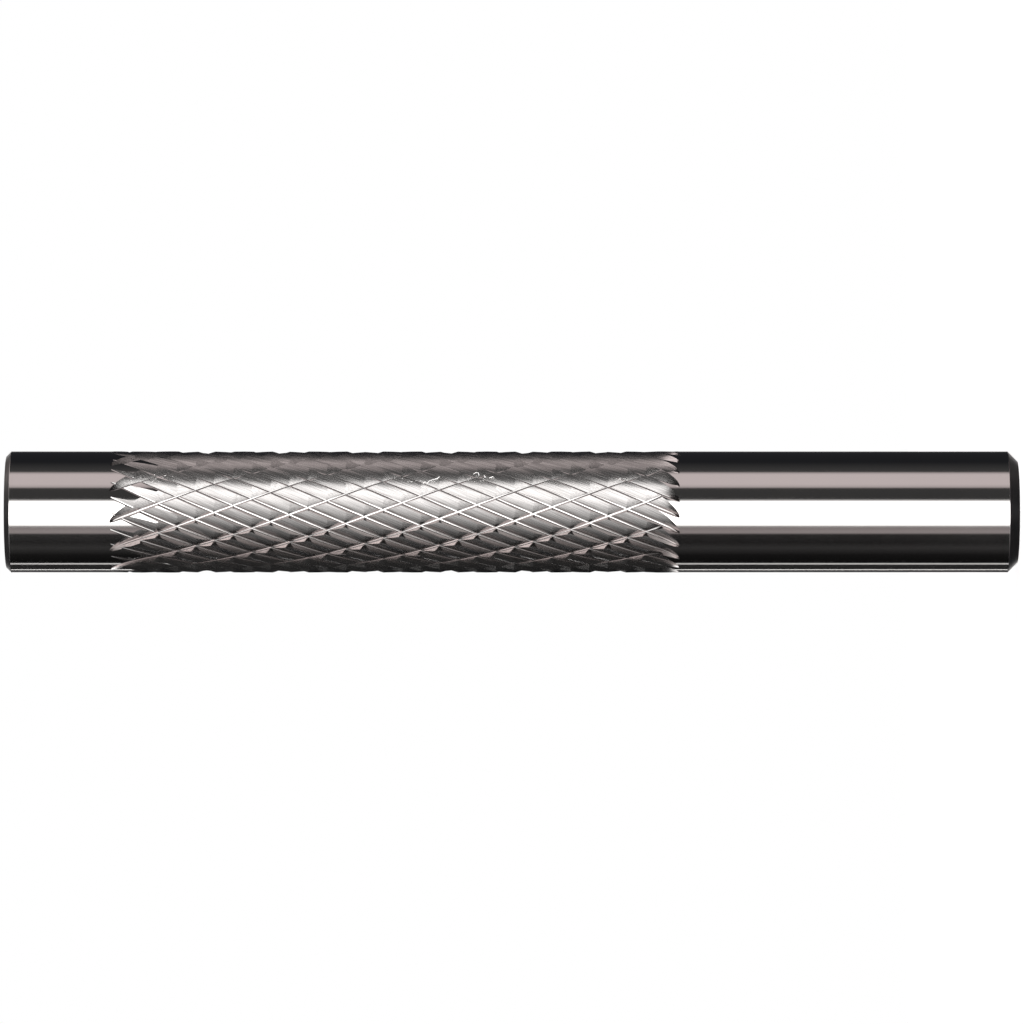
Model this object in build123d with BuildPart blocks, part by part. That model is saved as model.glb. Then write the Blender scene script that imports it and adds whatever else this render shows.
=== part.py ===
from build123d import *
import math
import os
from collections.abc import Callable
from dataclasses import dataclass

# Solid carbide burr: a round blank with a double-cut cutting section between a plain
# shank and a short plain nose. Z runs along the axis, from the middle of the shank's
# end face (z = 0) up to the nose. All lengths are in mm and all angles in degrees.

# Blank, from the shank's end upwards
blank_diameter = 12.0
shank_length = 33.5
cut_length = 56.3
nose_length = 10.2
shank_chamfer = 1.0
nose_chamfer = 0.5
cut_relief = 0.004  # how far the cutting section's outside is under size at its middle
relief_margin = 0.2  # how far outside the grooves the relief starts

# Main teeth: right-hand helix, ground as a ratchet whose fronts face +theta
tooth_count = 24
tooth_lead = 82.8
tooth_depth = 0.58
tooth_front_lean = 0.27  # how far the root lies ahead of the tip, along the outside
tooth_tip_relief = 0.01  # the tips are ground just clear of the blank's outside
tooth_fade_shank = 2.6  # blunt ends of the grooves at the shank
tooth_fade_nose = 7.5  # long pointed ends at the nose
tooth_bearing = -0.7  # where a root lies at z = 0

# Chip breakers: left-hand helix, fewer grooves that notch the teeth
breaker_count = 12
breaker_lead = 95.3
breaker_depth = 0.62
breaker_front_lean = 0.25
breaker_back_width = 1.26  # from the root to where the groove's back meets the outside
breaker_stop_shank = 1.5  # how far short of the main grooves they stop at the shank
breaker_stop_nose = 0.2  # and at the nose
breaker_fade_shank = 2.3
breaker_fade_nose = 3.5
breaker_bearing = -1.4

# Construction allowances
outside_clearance = 1.0  # how far the uncut bar's envelope reaches beyond the blank
flank_overrun = 0.05  # share of a breaker's flanks that runs on past the outside
fewest_fade_steps = 4
widest_fade_step = 0.37  # turn between two sections of a fade, in pitches

blank_radius = blank_diameter / 2
overall_length = shank_length + cut_length + nose_length
cut_end = shank_length + cut_length
relief_start = shank_length - relief_margin
relief_end = cut_end + relief_margin
envelope_radius = blank_radius + tooth_depth + breaker_depth + outside_clearance


@dataclass
class GrooveSet:
    outline: Callable  # corners of what the grooves leave, for a lost depth and a bearing
    count: int
    depth: float
    bearing: float
    lead: float
    left_hand: bool
    start: float
    end: float
    fade_shank: float
    fade_nose: float
    shank_law: Callable
    nose_law: Callable

    def turn(self, length):
        # how far the helix turns over a length of the bar
        return (-360 if self.left_hand else 360) * length / self.lead


def arc_angle(width):
    # the angle that a width along the outside of the blank spans
    return math.degrees(width / blank_radius)


def polar(radius, angle):
    return (radius * math.cos(math.radians(angle)), radius * math.sin(math.radians(angle)))


def tooth_outline(loss, bearing):
    # root, then tip, for each main tooth in turn
    pitch = 360 / tooth_count
    root_radius = blank_radius - tooth_depth + loss
    tip_radius = blank_radius - tooth_tip_relief + loss
    tip_offset = pitch - arc_angle(tooth_front_lean)
    corners = []
    for tooth in range(tooth_count):
        root = bearing + tooth * pitch
        corners.append(polar(root_radius, root))
        corners.append(polar(tip_radius, root + tip_offset))
    return corners


def breaker_outline(loss, bearing):
    # for each chip breaker its root, the top of its back, the middle of the land beyond
    # the blank, and the top of the next breaker's front
    pitch = 360 / breaker_count
    reach = 1 + flank_overrun
    root_radius = blank_radius - breaker_depth + loss
    top_radius = root_radius + reach * breaker_depth
    back = reach * arc_angle(breaker_back_width)
    front = pitch - reach * arc_angle(breaker_front_lean)
    corners = []
    for groove in range(breaker_count):
        root = bearing + groove * pitch
        corners.append(polar(root_radius, root))
        corners.append(polar(top_radius, root + back))
        corners.append(polar(top_radius + breaker_depth, root + (back + front) / 2))
        corners.append(polar(top_radius, root + front))
    return corners


def blunt(share):
    # reach along a fade and the share of depth lost there, where the wheel lifts off at once
    angle = share * math.pi / 2
    return math.sin(angle), 1 - math.cos(angle)


def pointed(share):
    # the same where the end of the groove follows the wheel's own radius
    return share, share**2


def section(grooves, lost_share, height):
    # the flat section that a set of grooves leaves at a height
    bearing = grooves.bearing + grooves.turn(height)
    with BuildSketch(Plane.XY.offset(height)) as cut:
        with BuildLine():
            Polyline(*grooves.outline(lost_share * grooves.depth, bearing), close=True)
        make_face()
    return cut.sketch


def fade(grooves, full, end, law):
    # sections from full depth to nothing, close enough to keep each tooth with its own
    widest_turn = widest_fade_step * 360 / grooves.count
    steps = max(fewest_fade_steps, math.ceil(abs(grooves.turn(end - full)) / widest_turn))
    sections = []
    for step in range(steps + 1):
        reach, lost_share = law(step / steps)
        sections.append(section(grooves, lost_share, full + reach * (end - full)))
    return sections


def bar_left_by(grooves):
    # all that one set of grooves leaves of a longer and thicker bar
    low = grooves.start + grooves.fade_shank
    high = grooves.end - grooves.fade_nose
    below = grooves.start + outside_clearance
    above = overall_length + outside_clearance - grooves.end
    full_section = section(grooves, 0, low)
    shank_fade = fade(grooves, low, grooves.start, grooves.shank_law)
    nose_fade = fade(grooves, high, grooves.end, grooves.nose_law)
    with BuildLine(Plane.XY.offset(low)) as guides:
        axis = Line((0, 0), (0, 0, high - low))
        helix = Helix(grooves.lead, high - low, blank_radius, lefthand=grooves.left_hand)
    with BuildPart() as bar:
        sweep(sections=full_section, path=axis, binormal=helix)
        loft(shank_fade, ruled=True)
        loft(nose_fade, ruled=True)
        with Locations((0, 0, grooves.start - below / 2)):
            Cylinder(envelope_radius, below)
        with Locations((0, 0, grooves.end + above / 2)):
            Cylinder(envelope_radius, above)
    return bar.part


main_teeth = GrooveSet(
    outline=tooth_outline,
    count=tooth_count,
    depth=tooth_depth,
    bearing=tooth_bearing,
    lead=tooth_lead,
    left_hand=False,
    start=shank_length,
    end=cut_end,
    fade_shank=tooth_fade_shank,
    fade_nose=tooth_fade_nose,
    shank_law=blunt,
    nose_law=pointed,
)
chip_breakers = GrooveSet(
    outline=breaker_outline,
    count=breaker_count,
    depth=breaker_depth,
    bearing=breaker_bearing,
    lead=breaker_lead,
    left_hand=True,
    start=shank_length + breaker_stop_shank,
    end=cut_end - breaker_stop_nose,
    fade_shank=breaker_fade_shank,
    fade_nose=breaker_fade_nose,
    shank_law=blunt,
    nose_law=blunt,
)
left_by_teeth = bar_left_by(main_teeth)
left_by_breakers = bar_left_by(chip_breakers)

with BuildPart() as burr:
    upwards = (Align.CENTER, Align.CENTER, Align.MIN)
    hollow_radius = blank_radius - cut_relief
    half_length = (relief_end - relief_start) / 2
    Cylinder(blank_radius, relief_start, align=upwards)
    with Locations((0, 0, relief_start)):
        Cone(blank_radius, hollow_radius, half_length, align=upwards)
    with Locations((0, 0, relief_start + half_length)):
        Cone(hollow_radius, blank_radius, half_length, align=upwards)
    with Locations((0, 0, relief_end)):
        Cylinder(blank_radius, overall_length - relief_end, align=upwards)
    rims = burr.edges().filter_by(GeomType.CIRCLE).sort_by(Axis.Z)
    chamfer(rims[0], shank_chamfer)
    chamfer(rims[-1], nose_chamfer)
    add(left_by_teeth, mode=Mode.INTERSECT)
    add(left_by_breakers, mode=Mode.INTERSECT)

burr.part.label = "burr"
os.makedirs("parts", exist_ok=True)
export_step(burr.part, "parts/burr.step")
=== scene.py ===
import math
import bpy
import numpy as np
from mathutils import Matrix, Vector


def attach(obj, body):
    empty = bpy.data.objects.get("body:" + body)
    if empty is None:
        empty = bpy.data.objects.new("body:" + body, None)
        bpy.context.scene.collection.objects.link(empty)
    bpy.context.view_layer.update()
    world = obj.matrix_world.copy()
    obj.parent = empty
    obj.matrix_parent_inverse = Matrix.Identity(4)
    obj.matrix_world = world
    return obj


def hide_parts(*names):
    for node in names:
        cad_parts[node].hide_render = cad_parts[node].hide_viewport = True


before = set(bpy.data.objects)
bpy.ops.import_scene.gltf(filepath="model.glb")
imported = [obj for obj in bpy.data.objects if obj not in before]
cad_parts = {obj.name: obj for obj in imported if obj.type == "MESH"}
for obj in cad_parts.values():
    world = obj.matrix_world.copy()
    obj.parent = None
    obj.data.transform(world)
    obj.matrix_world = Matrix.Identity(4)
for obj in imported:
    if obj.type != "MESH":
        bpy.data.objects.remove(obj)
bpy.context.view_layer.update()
print("frame loaded")

mm = 0.001  # the burr's and the lint's sizes below are in millimetres


# the bar that the burr is ground from
blank = {
    "radius": 6.0,
    "shankLength": 33.5,
    "cutLength": 56.3,
    "noseLength": 10.2,
    "shankChamfer": 1.0,
    "noseChamfer": 0.5,
    "edgeSoftening": 0.04,  # the barely broken edges of the chamfers
    "softeningShare": 0.3,  # how much of that lies on the chamfer, beside the flat next to it
    "meshMargin": 0.25,  # how far the fine mesh runs on past the grooves
}

mainTeeth = {
    "count": 24,
    "lead": 82.8,
    "hand": 1,  # 1 is a right-hand helix, -1 a left-hand one
    "bearing": -0.7,  # where a root lies at height 0, in degrees
    "depth": 0.58,
    "tipRelief": 0.01,
    "frontLean": 0.27,  # how far the root lies ahead of the tip
    "backWidth": 1.3008,  # from the root to the next tip
    "backBulge": 0.03,  # how far the back stands proud of a straight line
    "rootRadius": 0.31,
    "rootTurn": 14.0,  # degrees of the root's curve before the front rises
    "rootShift": 0.03,  # where the deepest line lies
    "start": 33.5,
    "end": 89.8,
    "fadeStart": 2.6,
    "fadeEnd": 7.5,
    "startBlunt": True,
    "endBlunt": False,
    "rootSteps": 5,
    "backSteps": 4,
    "landSteps": 0,
}

chipBreakers = {
    "count": 12,
    "lead": 95.3,
    "hand": -1,
    "bearing": -1.4,
    "depth": 0.62,
    "tipRelief": 0.0,
    "frontLean": 0.25,
    "backWidth": 1.26,
    "backBulge": 0.03,
    "rootRadius": 0.31,
    "rootTurn": 14.0,
    "rootShift": 0.03,
    "start": 35.0,
    "end": 89.6,
    "fadeStart": 2.3,
    "fadeEnd": 3.5,
    "startBlunt": True,
    "endBlunt": True,
    "rootSteps": 5,
    "backSteps": 4,
    "landSteps": 2,
}

# how finely the mesh is made
meshing = {
    "overrun": 2.0,  # lattice laid past both ends before it is cut to length
    "spareGrooves": 2,  # breaker grooves laid out before the first and after the last needed
    "runOut": 0.004,  # how far a faded groove ends up above the bar
    "snap": 0.02,  # share of an edge within which a cut goes to the corner
    "halvings": 28,  # how often an edge is halved to find a crossing
    "inset": 0.02,  # share of the way to a triangle's middle where its normals are read
    "slopeStep": 1e-4,  # half the height over which a fade's slope is measured
    "leastReach": 1e-6,  # keeps the slope of the root's curve finite at its ends
    "weld": 2e-4,  # corners this close, seen on the bar's outside, are one
    "hairline": 0.005,  # loose corners this close are one
    "rimZone": 1e-3,  # corners this close to the mesh's ends stay loose
    "rim": 1e-6,  # corners this close to the mesh's ends are its rims
}


class Groove:
    # one family of helical grooves: depth and slope anywhere on the unrolled bar

    def __init__(self, facts, radius):
        self.facts = facts
        self.radius = radius
        self.pitch = 2 * math.pi * radius / facts["count"]
        self.turn = facts["hand"] * 2 * math.pi / facts["lead"]  # radians per mm
        self.base = math.radians(facts["bearing"])
        self.relief = facts["tipRelief"]
        self.slope = (facts["depth"] - self.relief) / facts["backWidth"]
        self.tipAhead = facts["backWidth"]
        self.tipBehind = -facts["frontLean"]
        # a round root that runs into the back and stops short against the front
        size, shift = facts["rootRadius"], facts["rootShift"]
        end = math.radians(facts["rootTurn"])
        lineDepth = self.relief + self.slope * (self.tipAhead - shift)
        self.centre = np.array([shift, -lineDepth + size * math.hypot(1, self.slope)])
        self.backStart = shift + size * math.sin(math.atan(self.slope))
        self.frontEnd = shift - size * math.sin(end)
        frontDepth = size * math.cos(end) - self.centre[1]
        self.frontSlope = (frontDepth - self.relief) / (self.frontEnd - self.tipBehind)

    def wrap(self, x):
        # distance along the outside from the nearest root, between its two tips
        return (x - self.tipBehind) % self.pitch + self.tipBehind

    def zones(self, x, front, root, back, land):
        # picks the part of the profile that x lies on, from one tip to the next
        deep = np.where(x < self.frontEnd, front, np.where(x < self.backStart, root, back))
        return np.where(x > self.tipAhead, land, deep)

    def arc(self, x, least):
        # height of the root's curve over its centre
        reach = x - self.centre[0]
        return np.sqrt(np.maximum(self.facts["rootRadius"] ** 2 - reach**2, least))

    def backRun(self, x):
        return np.clip((x - self.backStart) / (self.tipAhead - self.backStart), 0, 1)

    def depth(self, x):
        x = self.wrap(x)
        run = self.backRun(x)
        bulge = 4 * self.facts["backBulge"] * run * (1 - run)
        return self.zones(
            x,
            front=self.relief + (x - self.tipBehind) * self.frontSlope,
            root=-self.centre[1] + self.arc(x, 0),
            back=self.relief + self.slope * (self.tipAhead - x) - bulge,
            land=-self.slope * np.minimum(x - self.tipAhead, self.pitch + self.tipBehind - x),
        )

    def steepness(self, x):
        # change of depth with x
        x = self.wrap(x)
        width = self.tipAhead - self.backStart
        bulge = 4 * self.facts["backBulge"] * (1 - 2 * self.backRun(x)) / width
        return self.zones(
            x,
            front=self.frontSlope,
            root=-(x - self.centre[0]) / self.arc(x, meshing["leastReach"]),
            back=-self.slope - bulge,
            land=0.0,
        )

    def across(self, angle, height):
        # where a point of the bar lies across the grooves
        return self.radius * (angle - self.base - self.turn * height)

    def loss(self, height):
        # depth lost towards both ends of the grooves
        facts = self.facts
        total = np.zeros_like(height)
        fadeStart, fadeEnd = facts["fadeStart"], facts["fadeEnd"]
        ends = (
            (facts["start"] + fadeStart - height, fadeStart, facts["startBlunt"]),
            (height - facts["end"] + fadeEnd, fadeEnd, facts["endBlunt"]),
        )
        for into, fade, blunt in ends:
            share = np.clip(into / fade, 0, 1)
            lost = 1 - np.sqrt(np.maximum(1 - share**2, 0)) if blunt else share**2
            past = np.clip(into / fade - 1, 0, None)
            total = total + (facts["depth"] + meshing["runOut"]) * lost + past
        return total

    def surface(self, angle, height):
        # radius that the grooves leave, before the bar's own outside limits it
        return self.radius - self.depth(self.across(angle, height)) + self.loss(height)

    def lines(self):
        # angles across one groove where the mesh has its lines
        facts = self.facts
        size = facts["rootRadius"]
        places = [self.tipBehind, (self.tipBehind + self.frontEnd) / 2, self.frontEnd]
        first, last = [
            math.asin(np.clip((place - self.centre[0]) / size, -1, 1))
            for place in (self.frontEnd, self.backStart)
        ]
        for step in range(1, facts["rootSteps"] + 1):
            swing = first + (last - first) * step / facts["rootSteps"]
            places.append(self.centre[0] + size * math.sin(swing))
        for step in range(1, facts["backSteps"]):
            width = self.tipAhead - self.backStart
            places.append(self.backStart + width * step / facts["backSteps"])
        for step in range(facts["landSteps"]):
            width = self.pitch + self.tipBehind - self.tipAhead
            places.append(self.tipAhead + width * step / facts["landSteps"])
        return np.array([place / self.radius for place in places])


def latticeTriangles(teeth, breakers, low, high):
    # triangles between the lines of both groove families, as corners of angle and height
    first, second = teeth.lines(), breakers.lines()
    relative = teeth.turn - breakers.turn

    def lineAngle(groove, places, number):
        # angle at height 0 of a line, counted on round the bar
        step = 2 * math.pi / groove.facts["count"]
        return groove.base + (number // len(places)) * step + places[number % len(places)]

    spare = meshing["spareGrooves"]
    sweep = relative * high + 2 * math.pi + 1
    turns = math.ceil(sweep / (2 * math.pi / breakers.facts["count"])) + spare
    p, q = np.meshgrid(
        np.arange(teeth.facts["count"] * len(first)),
        np.arange(-spare * len(second), turns * len(second)),
        indexing="ij",
    )
    p, q = p.ravel(), q.ravel()
    corners = []
    for stepP, stepQ in ((0, 0), (1, 0), (1, 1), (0, 1)):
        toothLine = lineAngle(teeth, first, p + stepP)
        breakerLine = lineAngle(breakers, second, q + stepQ)
        height = (breakerLine - toothLine) / relative
        corners.append(np.stack([toothLine + teeth.turn * height, height], axis=1))
    quads = np.stack(corners, axis=1)
    heights = quads[:, :, 1]
    quads = quads[(heights.max(1) > low) & (heights.min(1) < high)]
    return np.concatenate([quads[:, [0, 1, 2]], quads[:, [0, 2, 3]]])


def splitAt(triangles, field, snap=meshing["snap"]):
    # cuts the triangles along the line where field is zero
    sides = field(triangles[:, :, 0], triangles[:, :, 1]) > 0
    mixed = sides.any(1) & ~sides.all(1)
    kept = triangles[~mixed]
    cut = triangles[mixed]
    sides = sides[mixed]
    lone = np.where(sides.sum(1) == 1, sides.argmax(1), (~sides).argmax(1))
    order = (lone[:, None] + np.arange(3)) % 3
    cut = np.take_along_axis(cut, order[:, :, None], axis=1)
    one, two, three = cut[:, 0], cut[:, 1], cut[:, 2]

    def crossing(start, end):
        swap = field(start[:, 0], start[:, 1]) > 0
        near = np.where(swap[:, None], end, start)
        far = np.where(swap[:, None], start, end)
        low, high = np.zeros(len(near)), np.ones(len(near))
        for _ in range(meshing["halvings"]):
            middle = (low + high) / 2
            place = near + (far - near) * middle[:, None]
            above = field(place[:, 0], place[:, 1]) > 0
            high = np.where(above, middle, high)
            low = np.where(above, low, middle)
        share = (low + high) / 2
        share = np.where(share < snap, 0.0, np.where(share > 1 - snap, 1.0, share))
        return near + (far - near) * share[:, None]

    onTwo, onThree = crossing(one, two), crossing(one, three)
    return np.concatenate([
        kept,
        np.stack([one, onTwo, onThree], axis=1),
        np.stack([onTwo, two, three], axis=1),
        np.stack([onTwo, three, onThree], axis=1),
    ])


def cutTriangles(teeth, breakers, low, high):
    # the lattice between two heights, with an edge wherever two surfaces meet
    overrun = meshing["overrun"]
    triangles = latticeTriangles(teeth, breakers, low - overrun, high + overrun)
    triangles = splitAt(triangles, lambda a, h: h - low, 0)
    triangles = triangles[triangles[:, :, 1].mean(1) > low]
    triangles = splitAt(triangles, lambda a, h: high - h, 0)
    triangles = triangles[triangles[:, :, 1].mean(1) < high]
    triangles = splitAt(triangles, lambda a, h: teeth.surface(a, h) - teeth.radius)
    triangles = splitAt(triangles, lambda a, h: breakers.surface(a, h) - breakers.radius)
    return splitAt(triangles, lambda a, h: teeth.surface(a, h) - breakers.surface(a, h))


def outwardParts(groove, angle, height):
    # outward direction on a groove's surface: radial, tangential and axial parts
    steep = groove.steepness(groove.across(angle, height))
    step = meshing["slopeStep"]
    fadeSlope = (groove.loss(height + step) - groove.loss(height - step)) / (2 * step)
    axial = -steep * groove.radius * groove.turn - fadeSlope
    return np.stack([np.ones_like(steep), steep, axial], axis=2)


def withoutSlivers(index, *facts):
    # drops triangles with two corners in one place, and pairs laid over each other
    one, two, three = index.T
    distinct = (one != two) & (two != three) & (three != one)
    index, facts = index[distinct], [fact[distinct] for fact in facts]
    _, group, count = np.unique(
        np.sort(index, axis=1), axis=0, return_inverse=True, return_counts=True
    )
    single = count[group.ravel()] % 2 == 1
    return [index[single]] + [fact[single] for fact in facts]


def closeHairlines(points, index, low, high):
    # corners left on the two sides of a hairline become one
    edges = np.sort(np.concatenate([index[:, [0, 1]], index[:, [1, 2]], index[:, [2, 0]]]), axis=1)
    edges, count = np.unique(edges, axis=0, return_counts=True)
    loose = np.unique(edges[count % 2 == 1])
    heights, zone = points[loose, 2], meshing["rimZone"]
    loose = loose[(heights > low + zone) & (heights < high - zone)]
    for number, place in enumerate(loose):
        later = loose[number + 1:]
        distance = np.linalg.norm(points[later] - points[place], axis=1)
        index[np.isin(index, later[distance < meshing["hairline"]])] = place


# the numbers of the finishes, in the order of the burr's material slots
polished, toothGrind, breakerGrind, chamferGrind, rootGrind = range(5)


def buildCutSection(teeth, breakers, low, high):
    radius = blank["radius"]
    triangles = cutTriangles(teeth, breakers, low, high)

    # each triangle belongs to the surface that lies deepest at its middle
    middle = triangles.mean(1)
    kinds = np.stack([
        np.full(len(middle), radius),
        teeth.surface(middle[:, 0], middle[:, 1]),
        breakers.surface(middle[:, 0], middle[:, 1]),
    ]).argmin(0)

    # normals come from that surface, read a little inside each triangle
    inner = triangles + (middle[:, None, :] - triangles) * meshing["inset"]
    angle, height = inner[:, :, 0], inner[:, :, 1]
    parts = np.zeros(triangles.shape[:2] + (3,))
    parts[:, :, 0] = 1
    inRoot = np.zeros(len(middle), bool)
    for kind, groove in ((toothGrind, teeth), (breakerGrind, breakers)):
        chosen = kinds == kind
        across = groove.wrap(groove.across(middle[:, 0], middle[:, 1]))
        inRoot |= chosen & (across < groove.backStart)
        parts[chosen] = outwardParts(groove, angle[chosen], height[chosen])
    sine, cosine = np.sin(triangles[:, :, 0]), np.cos(triangles[:, :, 0])
    normals = np.stack([
        parts[:, :, 0] * cosine - parts[:, :, 1] * sine,
        parts[:, :, 0] * sine + parts[:, :, 1] * cosine,
        parts[:, :, 2],
    ], axis=2)

    # join the corners that meet
    flat = triangles.reshape(-1, 2)
    keys = np.stack([np.cos(flat[:, 0]) * radius, np.sin(flat[:, 0]) * radius, flat[:, 1]], axis=1)
    keys = np.round(keys / meshing["weld"]).astype(np.int64)
    _, chosen, index = np.unique(keys, axis=0, return_index=True, return_inverse=True)
    index = index.ravel().reshape(-1, 3)
    index, kinds, normals, inRoot = withoutSlivers(index, kinds, normals, inRoot)
    angle, height = flat[chosen].T
    left = np.minimum(teeth.surface(angle, height), breakers.surface(angle, height))
    deepest = np.minimum(radius, left)
    points = np.stack([deepest * np.cos(angle), deepest * np.sin(angle), height], axis=1)
    closeHairlines(points, index, low, high)
    index, kinds, normals, inRoot = withoutSlivers(index, kinds, normals, inRoot)
    return points, index, np.where(inRoot, rootGrind, kinds), normals


def endRings(height, chamfer, sign):
    # radius, height and outward direction of each ring from the plain bar to the end face
    radius, soft = blank["radius"], blank["edgeSoftening"]
    inner = soft * blank["softeningShare"]
    plain, slanted, flat = (1, 0), (1, sign), (0, sign)
    return (
        (radius, height - sign * (chamfer + soft), plain),
        (radius - inner, height - sign * (chamfer - inner), slanted),
        (radius - chamfer + inner, height - sign * inner, slanted),
        (radius - chamfer - soft, height, flat),
    )


def buildBurr():
    teeth = Groove(mainTeeth, blank["radius"])
    breakers = Groove(chipBreakers, blank["radius"])
    low = mainTeeth["start"] - blank["meshMargin"]
    high = mainTeeth["end"] + blank["meshMargin"]
    points, index, kinds, normals = buildCutSection(teeth, breakers, low, high)
    print("cut section:", len(points), "points,", len(index), "triangles")
    verts, faces = [tuple(p) for p in points], index.tolist()
    faceKinds, cornerNormals = kinds.tolist(), normals.tolist()
    overall = blank["shankLength"] + blank["cutLength"] + blank["noseLength"]
    for level, height, chamfer, sign in (
        (low, 0.0, blank["shankChamfer"], -1),
        (high, overall, blank["noseChamfer"], 1),
    ):
        # rings go on from the fine mesh's last loop over the plain bar and its chamfer
        rim = np.flatnonzero(np.abs(points[:, 2] - level) < meshing["rim"]).tolist()
        rim.sort(key=lambda place: math.atan2(points[place][1], points[place][0]))
        ways = [np.array(points[place][:2]) / np.hypot(*points[place][:2]) for place in rim]
        rings, leans = [rim], [(1, 0)]
        for radius, ringHeight, lean in endRings(height, chamfer, sign):
            rings.append(list(range(len(verts), len(verts) + len(rim))))
            leans.append(lean)
            verts.extend((way[0] * radius, way[1] * radius, ringHeight) for way in ways)
        count = len(rim)
        for step in range(len(rings) - 1):
            for i in range(count):
                j = (i + 1) % count
                corners = [(step, i), (step, j), (step + 1, j), (step + 1, i)]
                if sign < 0:
                    corners.reverse()
                faces.append([rings[ring][place] for ring, place in corners])
                faceKinds.append(polished if step == 0 else chamferGrind)
                cornerNormals.append([
                    (*(ways[place] * leans[ring][0]), leans[ring][1]) for ring, place in corners
                ])
        # the end face is a fan about its middle
        middle = len(verts)
        verts.append((0.0, 0.0, height))
        for i in range(count):
            here, after = rings[-1][i], rings[-1][(i + 1) % count]
            faces.append([here, after, middle] if sign > 0 else [after, here, middle])
            faceKinds.append(chamferGrind)
            cornerNormals.append([(0, 0, sign)] * 3)

    mesh = bpy.data.meshes.new("burrGround")
    mesh.from_pydata([(x * mm, y * mm, z * mm) for x, y, z in verts], [], faces)
    mesh.polygons.foreach_set("material_index", faceKinds)
    mesh.polygons.foreach_set("use_smooth", [True] * len(faces))
    mesh.update()
    mesh.normals_split_custom_set([
        Vector(direction).normalized() for face in cornerNormals for direction in face
    ])
    piece = bpy.data.objects.new("burrGround", mesh)
    bpy.context.collection.objects.link(piece)
    triangles = sum(len(face) - 2 for face in faces)
    print("burr mesh:", len(verts), "points,", triangles, "triangles")
    return piece


burr = buildBurr()

finish = {
    "carbideColor": (0.51, 0.50, 0.495, 1),
    "polishedRoughness": 0.09,
    "groundRoughness": 0.24,
    "rootRoughness": 0.14,
    "endRoughness": 0.35,
    "roughnessSpread": (0.8, 1.2),  # shares of a roughness that it wanders between
    "hazeScale": 300,
    "hazeDetail": 4.0,
    "streakDark": 0.68,  # how dark the darkest grinding streaks are beside the metal
    "streakDarkAt": 0.38,  # noise level where the streaks are darkest
    "streakClearAt": 0.58,  # noise level where the bare metal starts
    "streakRoughSpan": (0.3, 0.7),  # noise levels of the smoothest and the roughest streaks
    "streakSpacing": 0.10,  # across the grinding streaks
    "streakStretch": 0.03,  # spacing across a streak as a share of its length
    "streakDetail": 3.0,
    "streakRoughness": 0.6,
    "streakBump": 0.006,
}


def nodeMaterial(name):
    material = bpy.data.materials.new(name)
    material.use_nodes = True
    tree = material.node_tree
    shader = tree.nodes["Principled BSDF"]
    shader.inputs["Base Color"].default_value = finish["carbideColor"]
    shader.inputs["Metallic"].default_value = 1.0
    return material, tree, shader


def link(tree, source, target):
    tree.links.new(source, target)


def mathNode(tree, operation, first, second):
    # second is a number or another node's output
    node = tree.nodes.new("ShaderNodeMath")
    node.operation = operation
    link(tree, first, node.inputs[0])
    if isinstance(second, float):
        node.inputs[1].default_value = second
    else:
        link(tree, second, node.inputs[1])
    return node.outputs[0]


def spanNode(tree, source, before=(0, 1), after=(0, 1), smooth=False):
    # carries the values of one span over to another
    node = tree.nodes.new("ShaderNodeMapRange")
    if smooth:
        node.interpolation_type = "SMOOTHSTEP"
    for name, value in zip(("From Min", "From Max", "To Min", "To Max"), (*before, *after)):
        node.inputs[name].default_value = value
    link(tree, source, node.inputs["Value"])
    return node.outputs[0]


def noiseNode(tree, place, scale, detail):
    noise = tree.nodes.new("ShaderNodeTexNoise")
    noise.inputs["Scale"].default_value = scale
    noise.inputs["Detail"].default_value = detail
    link(tree, place, noise.inputs["Vector"])
    return noise


def wanderingRoughness(tree, shader, noise, roughness, before=(0, 1)):
    after = [roughness * share for share in finish["roughnessSpread"]]
    link(tree, spanNode(tree, noise.outputs["Fac"], before, after), shader.inputs["Roughness"])


def groundFinish(name, turn, roughness):
    # grinding streaks that run along a helix
    material, tree, shader = nodeMaterial(name)
    place = tree.nodes.new("ShaderNodeTexCoord").outputs["Object"]
    split = tree.nodes.new("ShaderNodeSeparateXYZ")
    link(tree, place, split.inputs[0])
    untwist = tree.nodes.new("ShaderNodeVectorRotate")
    untwist.rotation_type = "Z_AXIS"
    link(tree, place, untwist.inputs["Vector"])
    angle = mathNode(tree, "MULTIPLY", split.outputs["Z"], -turn / mm)
    link(tree, angle, untwist.inputs["Angle"])
    stretch = tree.nodes.new("ShaderNodeMapping")
    stretch.inputs["Scale"].default_value = (1, 1, finish["streakStretch"])
    link(tree, untwist.outputs[0], stretch.inputs[0])
    scale = 1 / (finish["streakSpacing"] * mm)
    streaks = noiseNode(tree, stretch.outputs[0], scale, finish["streakDetail"])
    streaks.inputs["Roughness"].default_value = finish["streakRoughness"]
    wanderingRoughness(tree, shader, streaks, roughness, finish["streakRoughSpan"])
    metal = finish["carbideColor"]
    shade = tree.nodes.new("ShaderNodeValToRGB")
    dark, clear = shade.color_ramp.elements
    dark.position = finish["streakDarkAt"]
    dark.color = [v * finish["streakDark"] for v in metal[:3]] + [1]
    clear.position = finish["streakClearAt"]
    clear.color = metal
    link(tree, streaks.outputs["Fac"], shade.inputs["Fac"])
    link(tree, shade.outputs["Color"], shader.inputs["Base Color"])
    bump = tree.nodes.new("ShaderNodeBump")
    bump.inputs["Distance"].default_value = finish["streakBump"] * mm
    bump.inputs["Strength"].default_value = 1.0
    link(tree, streaks.outputs["Fac"], bump.inputs["Height"])
    link(tree, bump.outputs["Normal"], shader.inputs["Normal"])
    return material


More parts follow.
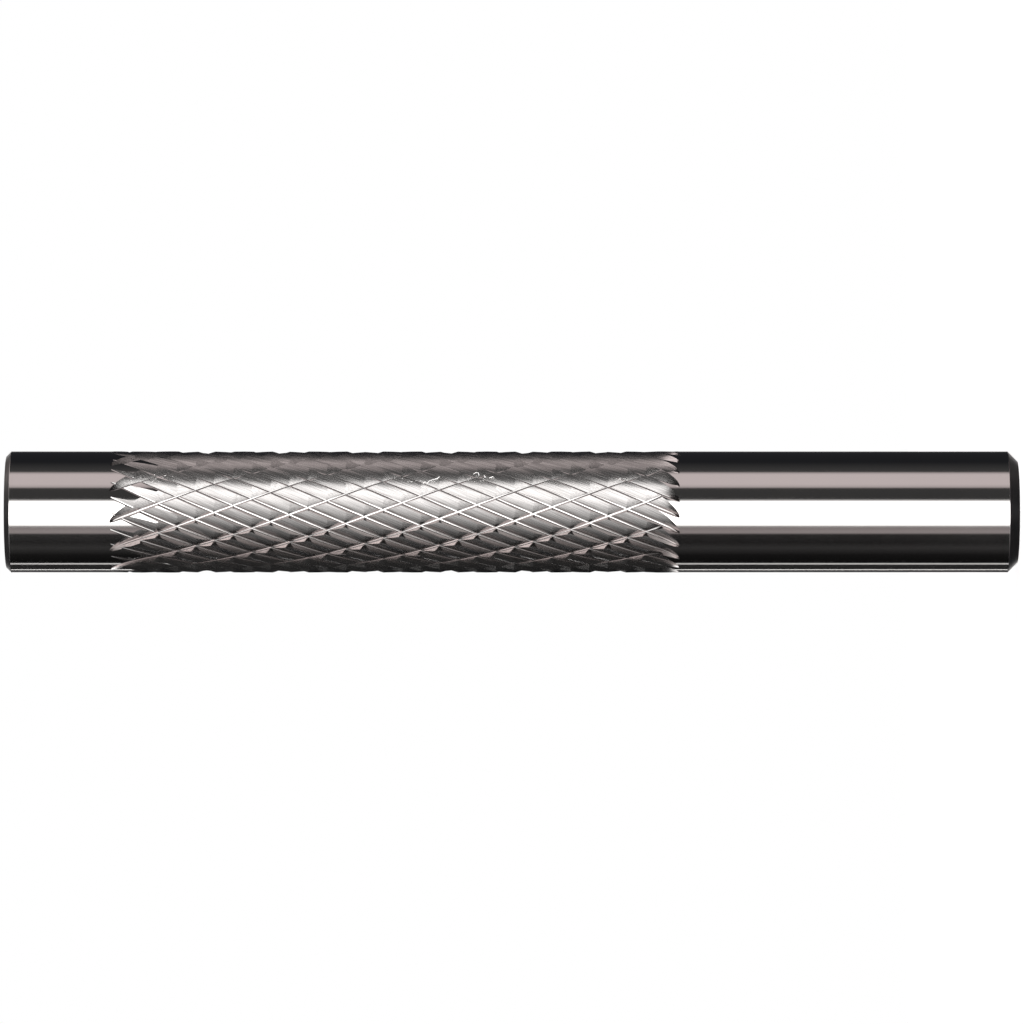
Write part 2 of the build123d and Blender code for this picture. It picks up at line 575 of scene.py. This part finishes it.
def polishedFinish(name, roughness):
    # even metal whose gloss wanders a little, like a faint haze
    material, tree, shader = nodeMaterial(name)
    place = tree.nodes.new("ShaderNodeTexCoord").outputs["Object"]
    haze = noiseNode(tree, place, finish["hazeScale"], finish["hazeDetail"])
    wanderingRoughness(tree, shader, haze, roughness)
    return material


# the streaks on both kinds of groove run along the teeth's helix
streakTurn = 2 * math.pi / mainTeeth["lead"]
for material in (
    polishedFinish("polishedCarbide", finish["polishedRoughness"]),
    groundFinish("toothGrind", streakTurn, finish["groundRoughness"]),
    groundFinish("breakerGrind", streakTurn, finish["groundRoughness"]),
    polishedFinish("chamferGrind", finish["endRoughness"]),
    polishedFinish("rootGrind", finish["rootRoughness"]),
):
    burr.data.materials.append(material)
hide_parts("burr")
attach(burr, "root")
print("finishes done")

# lint and dust that cling to the cutting section. places along the burr are heights in mm,
# and places round it are angles in degrees, from the camera's side up
lint = {
    "radius": 0.035,
    "color": (0.95, 0.95, 0.93, 1),
    "roughness": 0.9,
    "glow": 0.55,  # painted glow: emission that makes the fibres look brightly lit, standing in for light that passes through them
    "sides": 6,
    "seed": 7,
    "grainLift": 0.01,  # of a grain's middle over the bar
    "grainLength": (0.03, 0.10),
    "grainLean": 2.0,  # most degrees that a grain swings per mm of its length
    "grainRadius": (0.012, 0.03),
    "fibres": (
        (
            (58.75, 27.6), (58.55, 29.8), (58.35, 27.8), (58.15, 30.4), (57.75, 32.0),
            (57.35, 33.1), (57.15, 35.3),
        ),
        ((53.80, 38.2), (53.55, 40.1), (53.30, 39.5), (53.25, 36.5)),
        ((52.75, 36.6), (52.60, 34.4)),
        ((52.25, 33.8), (51.85, 35.4)),
    ),
    # spans of height and angle where dust has gathered, with the number of grains
    "dust": (
        (38.6, 39.9, 30.5, 33.5, 16),
        (83.2, 87.6, 18.0, 38.0, 22),
        (51.7, 54.6, 30.0, 36.0, 14),
        (57.0, 61.5, 29.0, 34.0, 12),
    ),
}


def onSurface(height, angle, lift):
    turn = math.radians(angle - 90)
    size = blank["radius"] + lift
    return Vector((size * math.cos(turn), size * math.sin(turn), height)) * mm


def addTube(verts, faces, path, radius):
    # a closed tube along a path that lies on the burr
    sides = lint["sides"]
    start = len(verts)
    for number, place in enumerate(path):
        ahead = path[min(number + 1, len(path) - 1)] - path[max(number - 1, 0)]
        ahead.normalize()
        outwards = Vector((place.x, place.y, 0)).normalized()
        side = ahead.cross(outwards).normalized()
        lift = side.cross(ahead)
        for step in range(sides):
            swing = step * 2 * math.pi / sides
            verts.append(place + (side * math.cos(swing) + lift * math.sin(swing)) * radius)
    for number in range(len(path) - 1):
        ring = start + number * sides
        for step in range(sides):
            a, b = ring + step, ring + (step + 1) % sides
            faces.append((a, b, b + sides, a + sides))
    faces.append(tuple(start + step for step in reversed(range(sides))))
    faces.append(tuple(len(verts) - sides + step for step in range(sides)))


def buildLint():
    verts, faces = [], []
    for fibre in lint["fibres"]:
        path = [onSurface(height, angle, lint["radius"]) for height, angle in fibre]
        addTube(verts, faces, path, lint["radius"] * mm)
    dice = np.random.default_rng(lint["seed"])
    mostLean, above = lint["grainLean"], lint["grainLift"]
    for low, high, first, last, count in lint["dust"]:
        for _ in range(count):
            height, angle = dice.uniform(low, high), dice.uniform(first, last)
            length, lean = dice.uniform(*lint["grainLength"]), dice.uniform(-mostLean, mostLean)
            near = onSurface(height, angle, above)
            far = onSurface(height + length, angle + lean * length, above)
            addTube(verts, faces, [near, far], dice.uniform(*lint["grainRadius"]) * mm)
    mesh = bpy.data.meshes.new("lint")
    mesh.from_pydata(verts, [], faces)
    mesh.polygons.foreach_set("use_smooth", [True] * len(faces))
    piece = bpy.data.objects.new("lint", mesh)
    bpy.context.collection.objects.link(piece)
    material, _, shader = nodeMaterial("lintFibre")
    shader.inputs["Metallic"].default_value = 0.0
    shader.inputs["Base Color"].default_value = lint["color"]
    shader.inputs["Roughness"].default_value = lint["roughness"]
    # painted glow: the lint gives off light of its own, so that it looks lit white
    shader.inputs["Emission Color"].default_value = lint["color"]
    shader.inputs["Emission Strength"].default_value = lint["glow"]
    mesh.materials.append(material)
    return piece


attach(buildLint(), "root")
print("lint placed")

# floor and camera, in metres
studio = {
    "backdrop": (1.0, 1.0, 1.0, 1),
    "floorSize": 0.5,
    "floorColor": (0.9, 0.9, 0.9, 1),
    "floorRoughness": 0.8,
    "floorGlow": 0.79,  # brings the floor up to the backdrop
    "cameraDistance": 0.909,
    "cameraReach": 10.0,
    "lens": 323.0,
    "sensorWidth": 36.0,
    "aim": (0.0, 0.0, 0.05),
}

pink = (1.0, 0.88, 0.87)
warm = (1.0, 0.98, 0.97)
cold = (0.85, 0.88, 1.0)

# light from all round the burr. each stop is a bearing in degrees from the camera's side, with
# the brightness and tint seen there. each table lights one range of leans along the burr, and
# so one kind of face
lights = {
    "plain": (
        (-180, 0.9, warm), (-167, 0.9, warm), (-161, 0.03, cold), (-146, 0.02, warm),
        (-145, 2.2, warm), (-143, 2.2, warm), (-142, 0.03, warm), (-119, 0.03, warm),
        (-118, 1.6, warm), (-116, 1.6, warm), (-115, 0.006, warm), (-90, 0.012, warm),
        (-72, 0.05, warm), (-60, 0.02, warm), (-43, 0.03, warm), (-40, 0.48, pink),
        (-30, 0.34, pink), (-26.5, 0.6, warm), (-23, 4.0, warm), (-18, 5.0, warm),
        (16, 5.0, warm), (19.5, 2.2, warm), (24, 0.06, warm), (46, 0.065, warm),
        (48, 0.70, pink), (54, 0.95, pink), (76, 0.95, pink), (80, 0.65, pink),
        (83, 0.08, warm), (110, 0.025, cold), (161, 0.03, cold), (180, 0.9, warm),
    ),
    "back": (
        (-180, 0.9, warm), (-168, 0.9, warm), (-162, 0.015, cold), (-150, 0.015, cold),
        (-125, 0.028, cold), (-105, 0.075, warm), (-85, 0.22, warm), (-68, 0.55, warm),
        (-55, 0.92, warm), (-44, 1.25, warm), (-34, 1.65, warm), (-24, 2.15, warm),
        (-14, 2.55, warm), (5, 2.6, warm), (10, 0.6, warm), (14, 0.25, warm),
        (18, 0.15, warm), (42, 0.13, warm), (50, 0.55, pink), (76, 0.55, pink),
        (86, 0.12, warm), (115, 0.035, cold), (162, 0.035, cold), (168, 0.9, warm),
        (180, 0.9, warm),
    ),
    "toothFront": (
        (-180, 0.7, warm), (-168, 0.7, warm), (-160, 0.01, cold), (-105, 0.04, cold),
        (-85, 0.08, warm), (-68, 0.2, warm), (-55, 0.4, warm), (-44, 0.7, warm),
        (-34, 1.1, warm), (-24, 1.7, warm), (-14, 2.3, warm), (5, 2.3, warm),
        (12, 0.4, warm), (24, 0.12, warm), (50, 0.08, warm), (72, 0.22, pink),
        (105, 0.22, pink), (120, 0.03, warm), (160, 0.03, warm), (168, 0.7, warm),
        (180, 0.7, warm),
    ),
    "breakerFront": (
        (-180, 0.7, warm), (-168, 0.7, warm), (-160, 0.01, cold), (-105, 0.05, cold),
        (-85, 0.15, warm), (-68, 0.4, warm), (-55, 0.7, warm), (-44, 1.1, warm),
        (-34, 1.6, warm), (-24, 2.2, warm), (-14, 2.6, warm), (5, 2.5, warm),
        (12, 0.4, warm), (24, 0.15, warm), (48, 0.10, warm), (70, 1.6, pink),
        (110, 1.6, pink), (125, 0.03, warm), (160, 0.03, warm), (168, 0.7, warm),
        (180, 0.7, warm),
    ),
    "steepTooth": (
        (-180, 0.7, warm), (-168, 0.7, warm), (-160, 0.01, cold), (-60, 0.01, cold),
        (-30, 0.02, warm), (50, 0.04, warm), (72, 0.22, pink), (105, 0.22, pink),
        (120, 0.03, warm), (160, 0.03, warm), (168, 0.7, warm), (180, 0.7, warm),
    ),
    "steepBreaker": (
        (-180, 0.7, warm), (-168, 0.7, warm), (-160, 0.01, cold), (-60, 0.01, cold),
        (-30, 0.02, warm), (48, 0.05, warm), (70, 1.6, pink), (110, 1.6, pink),
        (125, 0.03, warm), (160, 0.03, warm), (168, 0.7, warm), (180, 0.7, warm),
    ),
    "chamfer": ((-180, 0.3, warm), (-165, 0.01, cold), (165, 0.01, cold), (180, 0.3, warm)),
    # from the most backward lean to the most forward one, each with the span of its start
    "leans": (
        ("toothFront", -0.60, -0.50),
        ("back", -0.42, -0.36),
        ("plain", -0.14, -0.08),
        ("back", 0.08, 0.14),
        ("breakerFront", 0.36, 0.42),
        ("steepBreaker", 0.50, 0.60),
    ),
    "chamferLeans": (0.78, 0.86),
    # light that has met a second face of a groove: each stop of the first is a lean
    "secondFace": (
        (-1, 0.04, warm), (-0.60, 0.05, warm), (-0.41, 0.10, warm), (-0.35, 0.33, pink),
        (-0.30, 0.75, pink), (-0.23, 1.25, pink), (-0.14, 1.45, warm), (0, 1.7, warm),
        (0.12, 2.9, pink), (0.27, 3.5, pink), (0.34, 2.7, pink), (0.40, 0.6, pink),
        (0.45, 0.12, pink), (0.56, 0.04, warm), (1, 0.04, warm),
    ),
    "secondShade": (
        (-180, 0.3, warm), (-60, 0.4, warm), (-34, 1.0, warm), (-16, 1.0, warm),
        (-5, 0.55, warm), (180, 0.55, warm),
    ),
    "secondDepth": 2.5,  # rays deeper than this have met a second face
}


def mixNode(tree, factor, below, above, blend="MIX"):
    # factor is a number or another node's output
    mix = tree.nodes.new("ShaderNodeMix")
    mix.data_type = "RGBA"
    mix.blend_type = blend
    if isinstance(factor, float):
        mix.inputs["Factor"].default_value = factor
    else:
        link(tree, factor, mix.inputs["Factor"])
    link(tree, below, mix.inputs["A"])
    link(tree, above, mix.inputs["B"])
    return mix.outputs["Result"]


def lightTable(tree, stops, source, span):
    # brightness and tint by a share from 0 to 1, with stops laid out over a span about 0
    ramp = tree.nodes.new("ShaderNodeValToRGB")
    link(tree, source, ramp.inputs["Fac"])
    elements = ramp.color_ramp.elements
    for number, (place, level, tint) in enumerate(stops):
        share = place / span + 0.5
        stop = elements[number] if number < 2 else elements.new(share)
        stop.position = share
        stop.color = [level * part for part in tint] + [1]
    return ramp.outputs["Color"]


def buildLight():
    world = bpy.data.worlds.new("studioLight")
    bpy.context.scene.world = world
    world.use_nodes = True
    tree = world.node_tree
    tree.nodes.clear()
    output = tree.nodes.new("ShaderNodeOutputWorld")
    split = tree.nodes.new("ShaderNodeSeparateXYZ")
    direction = tree.nodes.new("ShaderNodeTexCoord").outputs["Generated"]
    link(tree, direction, split.inputs[0])
    lean = split.outputs["Z"]
    towardsCamera = mathNode(tree, "MULTIPLY", split.outputs["Y"], -1.0)
    bearing = mathNode(tree, "ARCTAN2", split.outputs["X"], towardsCamera)
    share = spanNode(tree, bearing, (-math.pi, math.pi))
    leanShare = spanNode(tree, lean, (-1, 1))

    def lightRound(name):
        return lightTable(tree, lights[name], share, 360)

    def leaningMix(below, above, start, end):
        # goes over from one light to the other as directions lean along the burr
        return mixNode(tree, spanNode(tree, lean, (start, end), smooth=True), below, above)

    tables = {name: lightRound(name) for name in dict.fromkeys(row[0] for row in lights["leans"])}
    color = lightRound("steepTooth")
    for name, start, end in lights["leans"]:
        color = leaningMix(color, tables[name], start, end)
    start, end = lights["chamferLeans"]
    color = leaningMix(lightRound("chamfer"), color, -end, -start)
    color = leaningMix(color, lightRound("chamfer"), start, end)

    byLean = lightTable(tree, lights["secondFace"], leanShare, 2)
    second = mixNode(tree, 1.0, byLean, lightRound("secondShade"), "MULTIPLY")
    path = tree.nodes.new("ShaderNodeLightPath")
    depth = path.outputs["Ray Depth"]
    hasMetSecond = mathNode(tree, "GREATER_THAN", depth, lights["secondDepth"])
    glow = tree.nodes.new("ShaderNodeBackground")
    link(tree, mixNode(tree, hasMetSecond, color, second), glow.inputs["Color"])
    seen = tree.nodes.new("ShaderNodeBackground")
    seen.inputs["Color"].default_value = studio["backdrop"]
    choose = tree.nodes.new("ShaderNodeMixShader")
    link(tree, path.outputs["Is Camera Ray"], choose.inputs[0])
    link(tree, glow.outputs[0], choose.inputs[1])
    link(tree, seen.outputs[0], choose.inputs[2])
    link(tree, choose.outputs[0], output.inputs["Surface"])


buildLight()
print("light ready")

half = studio["floorSize"] / 2
floorCorners = [(-half, -half, 0), (half, -half, 0), (half, half, 0), (-half, half, 0)]
floorMesh = bpy.data.meshes.new("studioFloor")
floorMesh.from_pydata(floorCorners, [], [(0, 1, 2, 3)])
floor = bpy.data.objects.new("studioFloor", floorMesh)
bpy.context.collection.objects.link(floor)
paper, _, shader = nodeMaterial("palePaper")
shader.inputs["Metallic"].default_value = 0.0
shader.inputs["Base Color"].default_value = studio["floorColor"]
shader.inputs["Roughness"].default_value = studio["floorRoughness"]
shader.inputs["Emission Color"].default_value = studio["backdrop"]
shader.inputs["Emission Strength"].default_value = studio["floorGlow"]
floorMesh.materials.append(paper)
floor.visible_glossy = False  # so the burr doesn't mirror it

cameraData = bpy.data.cameras.new("camera")
cameraData.lens = studio["lens"]
cameraData.sensor_width = studio["sensorWidth"]
cameraData.clip_end = studio["cameraReach"]
camera = bpy.data.objects.new("camera", cameraData)
bpy.context.collection.objects.link(camera)
camera.location = Vector(studio["aim"]) + Vector((0, -studio["cameraDistance"], 0))
# rolled a quarter turn, so that the nose points left and +X is up
right, up, backward = Vector((0, 0, -1)), Vector((1, 0, 0)), Vector((0, -1, 0))
camera.rotation_euler = Matrix((right, up, backward)).transposed().to_euler()
bpy.context.scene.camera = camera
bpy.context.scene.view_settings.view_transform = "Standard"
print("studio ready")
